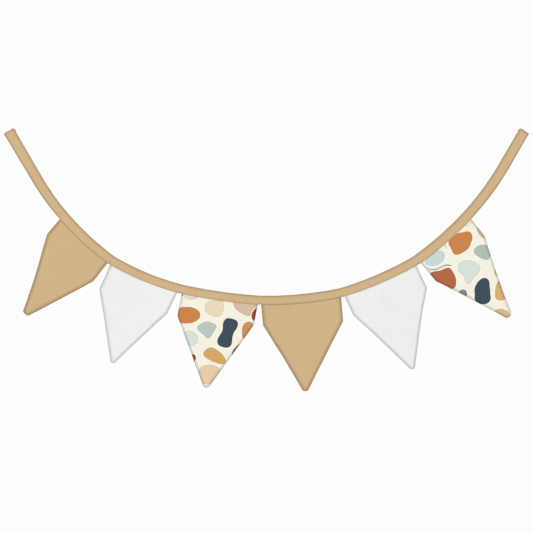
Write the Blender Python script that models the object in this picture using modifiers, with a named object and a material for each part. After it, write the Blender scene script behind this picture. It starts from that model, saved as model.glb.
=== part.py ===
"""Fabric bunting: turned cloth pennants sewn into a folded binding that hangs in a swag.

Metres, +Z up, with the front towards -Y. The origin is half way along the straight line
between the two ends of the binding, which is where the bunting is held.
"""

import math
from collections import namedtuple

import bmesh
import bpy
from mathutils import Matrix, Vector

MM = 0.001

# A pennant is two layers of cotton, seamed along its sides and turned right side out.
PENNANT_THICKNESS = 2.4 * MM
PENNANT_ROUNDING = 0.45 * MM
TUCK = 14.0 * MM
TUCKED_THICKNESS = 1.2 * MM

# The binding is one strip of cotton, folded over the pennants along its top edge. Its two
# legs clear the pennants between them, and nearly meet where there is no pennant.
BINDING_CLOTH = 1.0 * MM
BINDING_START_SLOPE = math.radians(-59.45)
BINDING_START_WIDTH = 22.8 * MM
BINDING_STEP = 11.0 * MM
TAIL_STEP = 22.0 * MM
GAP_STEPS = 4
FOLD_STEPS = 4
LIP_ROUNDING = 0.35 * MM
CLEARANCE = 0.3 * MM
OPEN_HALF_GAP = TUCKED_THICKNESS / 2 + CLEARANCE
CLOSED_HALF_GAP = 0.2 * MM
CLOSING_LENGTH = 6.0 * MM
END_FLARE = 0.5 * MM
END_EAR = 1.6 * MM

# A row for each stretch of the binding, from the left end to the right. length and width
# are millimetres, width at the stretch's far end, turn is degrees, and sway is how far
# the middle of the stretch stands towards the back, in millimetres.
Stretch = namedtuple("Stretch", "name length turn width sway")
STRETCHES = (
    Stretch("left_tail", 112, 0.0, 21.0, 0.0),
    Stretch("left_bend", 89, 10.45, 20.0, 0.0),
    Stretch("pennant_1", 128, 12.0, 19.0, -1.5),
    Stretch("gap_1", 5.5, 7.0, 18.5, 0.0),
    Stretch("pennant_2", 143, 14.8, 18.0, 1.2),
    Stretch("gap_2", 9, 2.9, 17.8, 0.0),
    Stretch("pennant_3", 152, 8.4, 17.8, -1.2),
    Stretch("gap_3", 6.5, 3.0, 17.8, 0.0),
    Stretch("pennant_4", 159, 12.5, 18.0, 1.4),
    Stretch("gap_4", 6.5, 5.6, 18.3, 0.0),
    Stretch("pennant_5", 154.5, 12.2, 18.8, -1.3),
    Stretch("gap_5", 9, 6.3, 19.5, 0.0),
    Stretch("pennant_6", 132, 11.4, 20.5, 1.2),
    Stretch("right_bend", 124, 12.8, 21.6, 0.0),
    Stretch("right_tail", 79.5, 0.0, 21.5, 0.0),
)

# A row for each side of each pennant, in millimetres. The shoulder is where the short
# side ends: flare is how far it stands out past the pennant's top corner, and drop how
# far it is below the line between the two top corners. hollow is how far the middle of
# the long side is drawn in.
Side = namedtuple("Side", "flare drop hollow")

# A row for each pennant, in millimetres. The blunt tip is lean to the side and drop down.
# It starts where the pennant is width wide, it is round deep, and the higher square is,
# the flatter its end and the tighter its two corners. Out of the plane, bow is how far
# the middle stands towards the back, tip_back the tip, and twist the right side over
# the left.
Tip = namedtuple("Tip", "lean drop width round square")
Hang = namedtuple("Hang", "bow tip_back twist")
Pennant = namedtuple("Pennant", "stretch cloth left right tip hang")
PENNANTS = (
    Pennant("pennant_1", "tan", Side(-1.9, 39.8, 2.8), Side(3.8, 45.7, -0.5),
            Tip(12.7, 186.8, 15.0, 2.4, 3.5), Hang(-4.0, 3.0, 4.0)),
    Pennant("pennant_2", "white", Side(1.6, 53.4, 0.3), Side(-2.6, 46.9, 0.9),
            Tip(6.6, 178.9, 10.3, 2.7, 3.0), Hang(3.5, -5.0, -3.0)),
    Pennant("pennant_3", "print", Side(2.7, 44.2, 0.3), Side(-1.3, 41.2, 0.2),
            Tip(-2.5, 179.9, 14.5, 4.9, 1.6), Hang(-3.0, 4.0, 2.5)),
    Pennant("pennant_4", "tan", Side(-0.2, 42.0, 0.9), Side(-0.3, 48.1, 0.7),
            Tip(-7.7, 180.5, 12.8, 3.4, 2.6), Hang(-4.0, -4.0, -2.0)),
    Pennant("pennant_5", "white", Side(-0.6, 41.1, 1.0), Side(1.9, 49.2, 1.9),
            Tip(-9.2, 187.8, 11.4, 2.7, 3.2), Hang(3.0, 5.0, 4.0)),
    Pennant("pennant_6", "print", Side(0.7, 48.0, 1.0), Side(-2.4, 43.7, 2.3),
            Tip(-4.1, 197.3, 16.0, 4.7, 3.0), Hang(-3.5, -3.0, -4.0)),
)

# The pennant's grid: shares of the way across, of the way down, and of the tuck. Lines
# across crowd towards the edges at the top, and come to even spaces at the tip.
ACROSS = (0.0, 0.03, 0.1, 0.2, 0.35, 0.5, 0.65, 0.8, 0.9, 0.97, 1.0)
SHOULDER_AT = 0.235
DOWN = (0.0, 0.04, 0.1, 0.17, SHOULDER_AT, 0.33, 0.43, 0.54, 0.65, 0.76, 0.86, 0.94, 0.98, 1.0)
TUCK_SHARES = (1.0, 0.5)
TIP_CURVE_POWER = 8
EDGE_THINNING = 0.5
BOW_DEPTH = 60.0 * MM

# Colour, roughness and sheen of each cloth.
Cloth = namedtuple("Cloth", "colour roughness sheen")
CLOTHS = {
    "tan": Cloth((0.61, 0.44, 0.25), 0.9, 0.2),
    "white": Cloth((0.83, 0.83, 0.83), 0.9, 0.2),
    "print": Cloth((0.88, 0.85, 0.73), 0.9, 0.2),
}

# Where the binding is at a distance along it: the middle of its width, its slope, its
# width, the half gap between its two legs, and how far the folded side of a turned-in
# end stands out along it.
Station = namedtuple("Station", "middle slope width half_gap ear")


def lerp(a, b, share):
    return a + (b - a) * share


def smooth(share):
    share = min(max(share, 0.0), 1.0)
    return share * share * (3.0 - 2.0 * share)


def along_arc(start, slope, length, turn, distance):
    """The point and the slope at a distance along an arc that starts there."""
    if abs(turn) < 1e-6:
        point = start + Vector((math.cos(slope), 0.0, math.sin(slope))) * distance
        return point, slope
    radius = length / turn
    end_slope = slope + turn * distance / length
    x = radius * (math.sin(end_slope) - math.sin(slope))
    z = radius * (math.cos(slope) - math.cos(end_slope))
    return start + Vector((x, 0.0, z)), end_slope


def laid_out_stretches():
    """Each stretch's name with its start, start slope and start width, laid end to end
    so that the origin is half way between the two ends."""
    laid = {}
    start, slope, width = Vector(), BINDING_START_SLOPE, BINDING_START_WIDTH
    for row in STRETCHES:
        laid[row.name] = (row, start, slope, width)
        length = row.length * MM
        start, slope = along_arc(start, slope, length, math.radians(row.turn), length)
        width = row.width * MM
    return {name: (row, begin - start / 2, angle, wide)
            for name, (row, begin, angle, wide) in laid.items()}


def half_gap_at(row, share):
    """Half the gap between the binding's legs a share of the way along a stretch."""
    if row.name.startswith("pennant"):
        closed = 0.0
    elif row.name.startswith("gap"):
        closed = math.sin(math.pi * share)
    elif row.name == "left_bend":
        closed = smooth((1.0 - share) * row.length * MM / CLOSING_LENGTH)
    elif row.name == "right_bend":
        closed = smooth(share * row.length * MM / CLOSING_LENGTH)
    else:
        closed = 1.0
    return lerp(OPEN_HALF_GAP, CLOSED_HALF_GAP, closed)


def station(laid, name, share):
    """The binding a share of the way along one of its stretches."""
    row, start, slope, width = laid[name]
    length = row.length * MM
    middle, slope = along_arc(start, slope, length, math.radians(row.turn), share * length)
    middle.y = row.sway * MM * math.sin(math.pi * share) ** 2
    width = lerp(width, row.width * MM, share)
    return Station(middle, slope, width, half_gap_at(row, share), 0.0)


def on_binding(place, height):
    """The point of the binding's middle surface that far above its lower edge."""
    up = Vector((-math.sin(place.slope), 0.0, math.cos(place.slope)))
    return place.middle + up * (height - place.width / 2)


def station_shares(row):
    """Where a stretch has its stations, closer together where the binding closes."""
    length = row.length * MM
    if row.name.startswith("gap"):
        count = GAP_STEPS
    else:
        count = round(length / (TAIL_STEP if row.name.endswith("tail") else BINDING_STEP))
    shares = [i / count for i in range(count)]
    closing = [CLOSING_LENGTH / 2 / length, CLOSING_LENGTH / length]
    if row.name == "left_bend":
        shares += [1.0 - share for share in closing]
    if row.name == "right_bend":
        shares += closing
    return sorted(shares)


def binding_stations(laid):
    """Stations along the whole binding, with its two ends turned in."""
    stations = [station(laid, row.name, share)
                for row in STRETCHES for share in station_shares(row)]
    stations.append(station(laid, STRETCHES[-1].name, 1.0))
    for index, ear in ((0, -END_EAR), (-1, END_EAR)):
        end = stations[index]
        stations[index] = end._replace(width=end.width + 2 * END_FLARE, ear=ear)
    return stations


def fold_profile(place):
    """Points of the folded strip's middle surface at one station, from the front lip
    up over the fold to the back lip."""
    reach = place.half_gap + BINDING_CLOTH / 2
    leg = place.width - BINDING_CLOTH / 2 - reach
    front = [(-reach, 0.0), (-reach, leg / 2)]
    fold = []
    for i in range(FOLD_STEPS + 1):
        angle = math.pi * i / FOLD_STEPS
        fold.append((-reach * math.cos(angle), leg + reach * math.sin(angle)))
    back = [(reach, leg / 2), (reach, 0.0)]
    along = Vector((math.cos(place.slope), 0.0, math.sin(place.slope)))
    points = []
    for depth, height in front + fold + back:
        ear = place.ear * smooth(2.0 * height / place.width - 1.0)
        points.append(on_binding(place, height) + along * ear + Vector((0.0, depth, 0.0)))
    return points


def shaped_grid(name, rows):
    """A grid primitive whose points are moved to these rows of points, and the row and
    column of each of its vertices."""
    across, down = len(rows[0]), len(rows)
    built = bmesh.new()
    bmesh.ops.create_grid(built, x_segments=across - 1, y_segments=down - 1, size=0.5)
    places = []
    for vertex in built.verts:
        column = round((vertex.co.x + 0.5) * (across - 1))
        row = round((vertex.co.y + 0.5) * (down - 1))
        vertex.co = rows[row][column]
        places.append((row, column))
    mesh = bpy.data.meshes.new(name)
    built.to_mesh(mesh)
    built.free()
    return mesh, places


def add_cloth_thickness(obj, thickness, rounding):
    """Gives an open sheet its thickness, equally to both sides, and rounds its edges."""
    solidify = obj.modifiers.new("Cloth thickness", "SOLIDIFY")
    solidify.thickness = thickness
    solidify.offset = 0.0
    solidify.use_even_offset = True
    bevel = obj.modifiers.new("Rounded edges", "BEVEL")
    bevel.width = rounding
    bevel.segments = 1
    bevel.limit_method = "ANGLE"
    bevel.angle_limit = math.radians(50)
    return solidify


def build_binding(laid, collection, material):
    mesh, _ = shaped_grid("binding", [fold_profile(place) for place in binding_stations(laid)])
    mesh.materials.append(material)
    obj = bpy.data.objects.new("binding", mesh)
    collection.objects.link(obj)
    add_cloth_thickness(obj, BINDING_CLOTH, LIP_ROUNDING)
    return obj


def chord_frame(laid, row):
    """The matrix of a pennant: its origin half way between its two top corners, +X along
    the line between them and +Y to the back."""
    left = on_binding(station(laid, row.stretch, 0.0), 0.0)
    right = on_binding(station(laid, row.stretch, 1.0), 0.0)
    chord = right - left
    slope = math.atan2(chord.z, chord.x)
    return Matrix.Translation((left + right) / 2) @ Matrix.Rotation(-slope, 4, "Y")


def across_shares(v):
    """The shares of the way across for the row that is v of the way down."""
    last = len(ACROSS) - 1
    return [lerp(u, column / last, v**2) for column, u in enumerate(ACROSS)]


def pennant_rows(laid, row, frame):
    """The rows of points of a pennant's middle surface, in its own frame, from the edge
    that is tucked into the binding down to the tip."""
    to_local = frame.inverted()

    def in_binding(u, height):
        return to_local @ on_binding(station(laid, row.stretch, u), height)

    left_corner, right_corner = in_binding(0.0, 0.0), in_binding(1.0, 0.0)
    tip_top = Vector((row.tip.lean, 0.0, row.tip.round - row.tip.drop)) * MM
    to_right = Vector((1.0, 0.0, 0.0))

    def side(corner, shape, outwards, v):
        """A point of one side: the short side, then the long one down to the tip."""
        shoulder = Vector((corner.x, 0.0, -shape.drop * MM)) + outwards * shape.flare * MM
        end = tip_top + outwards * row.tip.width * MM / 2
        if v <= SHOULDER_AT:
            return corner.lerp(shoulder, v / SHOULDER_AT)
        share = (v - SHOULDER_AT) / (1.0 - SHOULDER_AT)
        drawn_in = outwards * shape.hollow * MM * math.sin(math.pi * share)
        return shoulder.lerp(end, share) - drawn_in

    def in_plane(u, v):
        """A patch between the binding's lower edge, the two sides and the tip."""
        left = side(left_corner, row.left, -to_right, v)
        right = side(right_corner, row.right, to_right, v)
        top_curve = in_binding(u, 0.0) - left_corner.lerp(right_corner, u)
        tip_depth = row.tip.round * MM * (1.0 - abs(2.0 * u - 1.0) ** row.tip.square)
        tip_curve = Vector((0.0, 0.0, -tip_depth))
        return left.lerp(right, u) + top_curve * (1.0 - v) + tip_curve * v**TIP_CURVE_POWER

    def out_of_plane(u, point):
        down = max(0.0, -point.z)
        share = down / (row.tip.drop * MM)
        shape = row.hang
        bow = shape.bow * math.sin(math.pi * u) * smooth(down / BOW_DEPTH) * (1.0 - share)
        twist = shape.twist * (u - 0.5) * smooth(down / BOW_DEPTH)
        return (bow + twist + shape.tip_back * share**2) * MM

    rows = [[in_binding(u, TUCK * share) for u in ACROSS] for share in TUCK_SHARES]
    for v in DOWN:
        line = []
        for u in across_shares(v):
            point = in_plane(u, v)
            below_edge = Vector((point.x, 0.0, point.z - in_binding(u, 0.0).z))
            point.y = in_binding(u, 0.0).y + out_of_plane(u, below_edge)
            line.append(point)
        rows.append(line)
    return rows


def thickness_share(row, column):
    """How thick a pennant is at a point of its grid, against its full thickness."""
    if row <= len(TUCK_SHARES):
        return TUCKED_THICKNESS / PENNANT_THICKNESS
    at_edge = column in (0, len(ACROSS) - 1) or row == len(TUCK_SHARES) + len(DOWN) - 1
    return EDGE_THINNING if at_edge else 1.0


def build_pennant(laid, row, collection, material):
    frame = chord_frame(laid, row)
    name = f"{row.stretch}_{row.cloth}"
    mesh, places = shaped_grid(name, pennant_rows(laid, row, frame))
    mesh.materials.append(material)
    obj = bpy.data.objects.new(name, mesh)
    obj.matrix_world = frame
    collection.objects.link(obj)
    thickness = obj.vertex_groups.new(name="Thickness")
    for index, place in enumerate(places):
        thickness.add([index], thickness_share(*place), "REPLACE")
    solidify = add_cloth_thickness(obj, PENNANT_THICKNESS, PENNANT_ROUNDING)
    solidify.vertex_group = thickness.name
    return obj


def cloth_material(name):
    cloth = CLOTHS[name]
    material = bpy.data.materials.new(f"{name}_cotton")
    material.use_nodes = True
    shader = material.node_tree.nodes["Principled BSDF"]
    shader.inputs["Base Color"].default_value = (*cloth.colour, 1.0)
    shader.inputs["Roughness"].default_value = cloth.roughness
    shader.inputs["Metallic"].default_value = 0.0
    shader.inputs["Sheen Weight"].default_value = cloth.sheen
    material.diffuse_color = (*cloth.colour, 1.0)
    return material


def main():
    for obj in list(bpy.data.objects):
        bpy.data.objects.remove(obj)
    collection = bpy.data.collections.new("Fabric bunting")
    bpy.context.scene.collection.children.link(collection)
    materials = {name: cloth_material(name) for name in CLOTHS}
    laid = laid_out_stretches()
    build_binding(laid, collection, materials["tan"])
    for row in PENNANTS:
        build_pennant(laid, row, collection, materials[row.cloth])


main()
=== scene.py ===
"""Fabric bunting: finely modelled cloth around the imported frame, with its looks and its stage.

Metres, +Z up, with the front towards -Y. The origin is half way between the binding's ends.
"""

import math
import random
from collections import namedtuple

import bpy
import numpy as np
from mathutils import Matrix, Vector


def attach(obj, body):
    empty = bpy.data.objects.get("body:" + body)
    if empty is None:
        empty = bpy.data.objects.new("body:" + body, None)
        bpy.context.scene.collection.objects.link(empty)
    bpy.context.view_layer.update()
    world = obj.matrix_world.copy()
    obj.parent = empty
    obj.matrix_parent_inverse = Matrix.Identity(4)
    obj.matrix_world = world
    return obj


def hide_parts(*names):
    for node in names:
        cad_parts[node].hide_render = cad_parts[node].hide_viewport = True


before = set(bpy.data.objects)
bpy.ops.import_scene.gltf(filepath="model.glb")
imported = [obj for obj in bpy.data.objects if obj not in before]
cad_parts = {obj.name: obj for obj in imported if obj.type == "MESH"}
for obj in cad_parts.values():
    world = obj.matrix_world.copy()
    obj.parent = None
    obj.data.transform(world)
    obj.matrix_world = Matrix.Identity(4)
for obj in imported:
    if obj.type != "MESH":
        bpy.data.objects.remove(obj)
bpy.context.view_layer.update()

MM = 0.001

# The binding and the pennants stand where the frame's solids are, from the same tables.
TUCK = 14.0 * MM
TUCKED_HALF = 0.5 * MM
BINDING_CLOTH = 1.0 * MM
BINDING_START_SLOPE = math.radians(-59.45)
BINDING_START_WIDTH = 22.8 * MM
OPEN_HALF_GAP = 0.9 * MM
CLOSED_HALF_GAP = 0.2 * MM
CLOSING_LENGTH = 6.0 * MM

# length and width are millimetres, width at the stretch's far end, turn is degrees, and
# sway is how far the middle of the stretch stands towards the back, in millimetres.
Stretch = namedtuple("Stretch", "name length turn width sway")
STRETCHES = (
    Stretch("left_tail", 112, 0.0, 21.0, 0.0),
    Stretch("left_bend", 89, 10.45, 20.0, 0.0),
    Stretch("pennant_1", 128, 12.0, 19.0, -1.5),
    Stretch("gap_1", 5.5, 7.0, 18.5, 0.0),
    Stretch("pennant_2", 143, 14.8, 18.0, 1.2),
    Stretch("gap_2", 9, 2.9, 17.8, 0.0),
    Stretch("pennant_3", 152, 8.4, 17.8, -1.2),
    Stretch("gap_3", 6.5, 3.0, 17.8, 0.0),
    Stretch("pennant_4", 159, 12.5, 18.0, 1.4),
    Stretch("gap_4", 6.5, 5.6, 18.3, 0.0),
    Stretch("pennant_5", 154.5, 12.2, 18.8, -1.3),
    Stretch("gap_5", 9, 6.3, 19.5, 0.0),
    Stretch("pennant_6", 132, 11.4, 20.5, 1.2),
    Stretch("right_bend", 124, 12.8, 21.6, 0.0),
    Stretch("right_tail", 79.5, 0.0, 21.5, 0.0),
)

# A row for each side of each pennant, in millimetres. The shoulder is where the short
# side ends: flare is how far it stands out past the pennant's top corner, and drop how
# far it is below the line between the two top corners. hollow is how far the middle of
# the long side is drawn in.
Side = namedtuple("Side", "flare drop hollow")

# A row for each pennant, in millimetres. The blunt tip is lean to the side and drop down.
# It starts where the pennant is width wide, it is round deep, and the higher square is,
# the flatter its end and the tighter its two corners. Out of the plane, bow is how far
# the middle stands towards the back, tip_back the tip, and twist the right side over
# the left.
Tip = namedtuple("Tip", "lean drop width round square")
Hang = namedtuple("Hang", "bow tip_back twist")
Pennant = namedtuple("Pennant", "stretch cloth left right tip hang")
PENNANTS = (
    Pennant("pennant_1", "tan", Side(-1.9, 39.8, 2.8), Side(3.8, 45.7, -0.5),
            Tip(12.7, 186.8, 15.0, 2.4, 3.5), Hang(-4.0, 3.0, 4.0)),
    Pennant("pennant_2", "white", Side(1.6, 53.4, 0.3), Side(-2.6, 46.9, 0.9),
            Tip(6.6, 178.9, 10.3, 2.7, 3.0), Hang(3.5, -5.0, -3.0)),
    Pennant("pennant_3", "print", Side(2.7, 44.2, 0.3), Side(-1.3, 41.2, 0.2),
            Tip(-2.5, 179.9, 14.5, 4.9, 1.6), Hang(-3.0, 4.0, 2.5)),
    Pennant("pennant_4", "tan", Side(-0.2, 42.0, 0.9), Side(-0.3, 48.1, 0.7),
            Tip(-7.7, 180.5, 12.8, 3.4, 2.6), Hang(-4.0, -4.0, -2.0)),
    Pennant("pennant_5", "white", Side(-0.6, 41.1, 1.0), Side(1.9, 49.2, 1.9),
            Tip(-9.2, 187.8, 11.4, 2.7, 3.2), Hang(3.0, 5.0, 4.0)),
    Pennant("pennant_6", "print", Side(0.7, 48.0, 1.0), Side(-2.4, 43.7, 2.3),
            Tip(-4.1, 197.3, 16.0, 4.7, 3.0), Hang(-3.5, -3.0, -4.0)),
)
SHOULDER_AT = 0.235
SHOULDER_ROUNDING = 0.011
TIP_CURVE_POWER = 8
BOW_DEPTH = 60.0 * MM

# Distances from a rim at which the fine grids have their lines.
RIM_STEPS = np.array(
    (0.0, 0.04, 0.15, 0.33, 0.6, 0.95, 1.4, 2.0, 2.8, 3.8, 5.0, 6.2, 7.2, 8.2, 9.5)
) * MM
LIP_STEPS = np.array((0.0, 0.5, 1.1, 1.8, 2.6, 3.6, 4.8, 6.2, 7.8)) * MM
TUCK_STEPS = np.array((14.0, 12.0, 9.0, 6.0, 3.5, 2.0, 1.0)) * MM
GRID_STEP = 1.6 * MM
CORNER_STEP = 0.45 * MM
CORNER_REACH = 3.0 * MM
LEAST_ACROSS = 4
LEAST_DOWN = 2
RIMS_MOST = 0.42

# The points that the sewn rim's line has in the tuck, down a side and round the tip, and
# how many points are measured against it at a time.
TUCK_POINTS = 8
SIDE_POINTS = 400
TIP_POINTS = 60
POINTS_AT_A_TIME = 4000
LEAST_SQUARE = 1e-18

# Seeds of the random draws. Each pennant has its own, and two of its parts a step from it.
STITCH_SEED = 19
PUFF_SEED = 71
BINDING_EDGE_SEED = 72
CREASE_SEED = 73
PENNANT_SEED = 101
PENNANT_SEED_STEP = 7
WANDER_SEED_STEP = 5
LOFT_SEED_STEP = 11

# Painted shade that makes cloth darker near an edge: how far in it is darkest, where that
# has faded out, and how strong the soft band is beside the thin line.
Shade = namedtuple("Shade", "full none soft")
RIM_SHADES = {
    "tan": Shade(0.8 * MM, 8.8 * MM, 1.0),
    "white": Shade(0.5 * MM, 7.6 * MM, 1.0),
    "print": Shade(0.4 * MM, 7.2 * MM, 1.0),
}
LIP_ALONE = Shade(1.4 * MM, 4.0 * MM, 0.85)
LIP_OVER_PENNANT = Shade(0.5 * MM, 3.0 * MM, 0.25)
FOLD_SHADE = Shade(1.2 * MM, 6.3 * MM, 0.62)
END_SHADE = Shade(1.0 * MM, 5.0 * MM, 0.55)
EDGE_LINE = (0.8 * MM, 2.4 * MM)
EDGE_LINE_SHARE = 0.25

# How strongly painted shadow darkens the pennant right under the binding's lower edge.
LIP_SHADOWS = {"tan": 0.65, "white": 0.0, "print": 0.05}
LIP_SHADOW_REACH = 0.9 * MM

# Soft unevenness: its shortest and longest waves, and its height.
Waves = namedtuple("Waves", "shortest longest height")
HANG_WAVES = Waves(38 * MM, 130 * MM, 0.55 * MM)
LOFT_WAVES = Waves(16 * MM, 60 * MM, 0.09 * MM)
WANDER_WAVES = Waves(30 * MM, 90 * MM, 1.0)
PUFF_WAVES = Waves(25 * MM, 110 * MM, 0.10 * MM)
BINDING_EDGE_WAVES = Waves(35 * MM, 140 * MM, 0.16 * MM)
CREASE_WAVES = Waves(9 * MM, 40 * MM, 0.07 * MM)
WAVE_COUNT = 9
WAVE_SPREAD = 1.6
SIDE_WAVE_NUMBERS = (2, 3, 5, 8)
SIDE_WAVE_HEIGHT = 0.16 * MM

# Regular ripples: their pitch, how much they wander, how far the back layer's are out of
# step with the front's, and their height.
Ripple = namedtuple("Ripple", "pitch wander step height")
SEAM_RIPPLE = Ripple(8.5 * MM, 4.0, 2.1, 0.11 * MM)
GATHERS = Ripple(7.0 * MM, 3.0, 1.3, 0.10 * MM)
SEAM_RIPPLE_AT = 3.4 * MM
SEAM_RIPPLE_REACH = 2.6 * MM
GATHERS_START = 2.0 * MM
GATHERS_FADE = 6.0 * MM

# Half of a pennant's thickness, over its seam allowances and inside them, and over what
# distances it changes.
RIM_ROUNDING = 2.0 * MM
SEAM_HALF = 1.0 * MM
INNER_HALF = 0.66 * MM
ALLOWANCE = 6.0 * MM
ALLOWANCE_STEP = 2.6 * MM
LOFT_START = 2.0 * MM
LOFT_RISE = 6.0 * MM
LIP_RISE = 6.0 * MM
HANG_RISE = 45.0 * MM

# A stitch is a short tube, which sinks into the cloth and thins towards both its ends.
THREAD_RADIUS = 0.17 * MM
THREAD_SUNK = 0.13 * MM
STITCH_LENGTH = 2.3 * MM
STITCH_PITCH = 2.9 * MM
STITCH_HEIGHT = 2.0 * MM
STITCH_MARGIN = 4.0 * MM
STITCH_SHARES = np.array((0.0, 0.1, 0.3, 0.5, 0.7, 0.9, 1.0)) - 0.5
STITCH_SINK = np.array((0.34, 0.12, 0.0, -0.03, 0.0, 0.12, 0.34)) * MM
STITCH_GIRTH = np.array((0.55, 0.95, 1.0, 1.0, 1.0, 0.95, 0.55)) * THREAD_RADIUS
STITCH_SIDES = 6
STITCH_JITTER = 0.12
STITCH_TILT = 0.07
STITCH_GRAIN = (0.4 * MM, 0.17 * MM)


def lerp(a, b, share):
    return a + (b - a) * share


def smooth(share):
    share = np.clip(share, 0.0, 1.0)
    return share * share * (3.0 - 2.0 * share)


def bump_at(value, middle, reach):
    """A soft bump of height 1 round a middle."""
    return np.exp(-(((value - middle) / reach) ** 2))


def fall_off(distance, full, none):
    """1 up to one distance, and smoothly down to 0 at another."""
    return 1.0 - smooth((distance - full) / (none - full))


def edge_shade(distance, shade):
    """How dark painted shade makes cloth near an edge: a soft band and a thin line right at the
    edge.
    """
    band = shade.soft * (1.0 - EDGE_LINE_SHARE) * fall_off(distance, shade.full, shade.none)
    return band + EDGE_LINE_SHARE * fall_off(distance, *EDGE_LINE)


# How the binding lies, at each of many distances along it.
Place = namedtuple("Place", "middle slope width half_gap")


class Binding:
    """The binding's middle line, laid end to end from the table."""

    def __init__(self):
        self.length = np.array([row.length for row in STRETCHES]) * MM
        self.turn = np.radians([row.turn for row in STRETCHES])
        self.sway = np.array([row.sway for row in STRETCHES]) * MM
        self.far_width = np.array([row.width for row in STRETCHES]) * MM
        self.near_width = np.concatenate(([BINDING_START_WIDTH], self.far_width[:-1]))
        self.start = np.concatenate(([0.0], np.cumsum(self.length)))[:-1]
        self.slope = BINDING_START_SLOPE + np.concatenate(([0.0], np.cumsum(self.turn)))[:-1]
        steps = self.chord(np.arange(len(STRETCHES)), np.ones(len(STRETCHES)))
        ends = np.cumsum(steps, axis=0)
        self.total = float(self.length.sum())
        self.begin = np.vstack(([0.0, 0.0], ends[:-1])) - ends[-1] / 2

    def chord(self, index, share):
        """From a stretch's start to a share of the way along its arc."""
        half_turn = self.turn[index] * share / 2
        length = self.length[index] * share * np.sinc(half_turn / math.pi)
        slope = self.slope[index] + half_turn
        return np.stack((length * np.cos(slope), length * np.sin(slope)), axis=-1)

    def span(self, name):
        """The distances at which a stretch starts and ends."""
        index = [row.name for row in STRETCHES].index(name)
        return self.start[index], self.start[index] + self.length[index]

    def closed(self, index, share):
        """How far the two legs close on each other, from 0 over a pennant to 1."""
        kinds = np.array([row.name.rstrip("_123456") for row in STRETCHES])[index]
        rest = self.length[index] / CLOSING_LENGTH
        choices = (0.0, np.sin(math.pi * share), smooth((1 - share) * rest), smooth(share * rest))
        wanted = [kinds == kind for kind in ("pennant", "gap", "left_bend", "right_bend")]
        return np.select(wanted, np.broadcast_arrays(*choices), 1.0)

    def at(self, distance):
        distance = np.asarray(distance, float)
        index = np.searchsorted(self.start, distance, side="right") - 1
        index = np.clip(index, 0, len(STRETCHES) - 1)
        share = (distance - self.start[index]) / self.length[index]
        flat = self.begin[index] + self.chord(index, share)
        sway = self.sway[index] * np.sin(math.pi * np.clip(share, 0.0, 1.0)) ** 2
        middle = np.stack((flat[..., 0], sway, flat[..., 1]), axis=-1)
        slope = self.slope[index] + self.turn[index] * share
        width = lerp(self.near_width[index], self.far_width[index], share)
        half_gap = lerp(OPEN_HALF_GAP, CLOSED_HALF_GAP, self.closed(index, share))
        return Place(middle, slope, width, half_gap)


def axes_at(slope):
    """Unit vectors along and up a line of this slope, in the bunting's plane."""
    none = np.zeros_like(slope)
    along = np.stack((np.cos(slope), none, np.sin(slope)), axis=-1)
    up = np.stack((-np.sin(slope), none, np.cos(slope)), axis=-1)
    return along, up


def on_binding(place, height):
    """Points of the binding's middle surface, so far above its lower edge."""
    _, up = axes_at(place.slope)
    return place.middle + up * (height - place.width / 2)[..., None]


class SoftNoise:
    """Smooth unevenness over a plane: a sum of waves in many directions."""

    def __init__(self, seed, waves):
        draw = random.Random(seed)
        growth = waves.longest / waves.shortest
        steps = [i / (WAVE_COUNT - 1) for i in range(WAVE_COUNT)]
        lengths = [waves.shortest * growth**step for step in steps]
        self.height = waves.height / math.sqrt(WAVE_COUNT) / WAVE_SPREAD
        turns = [draw.uniform(0.0, math.pi) for _ in lengths]
        self.phases = [draw.uniform(0.0, 2 * math.pi) for _ in lengths]
        self.across = [2 * math.pi / n * math.cos(t) for n, t in zip(lengths, turns)]
        self.down = [2 * math.pi / n * math.sin(t) for n, t in zip(lengths, turns)]

    def at(self, x, z):
        waves = [np.sin(a * x + d * z + p)
                 for a, d, p in zip(self.across, self.down, self.phases)]
        return sum(waves) * self.height


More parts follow.
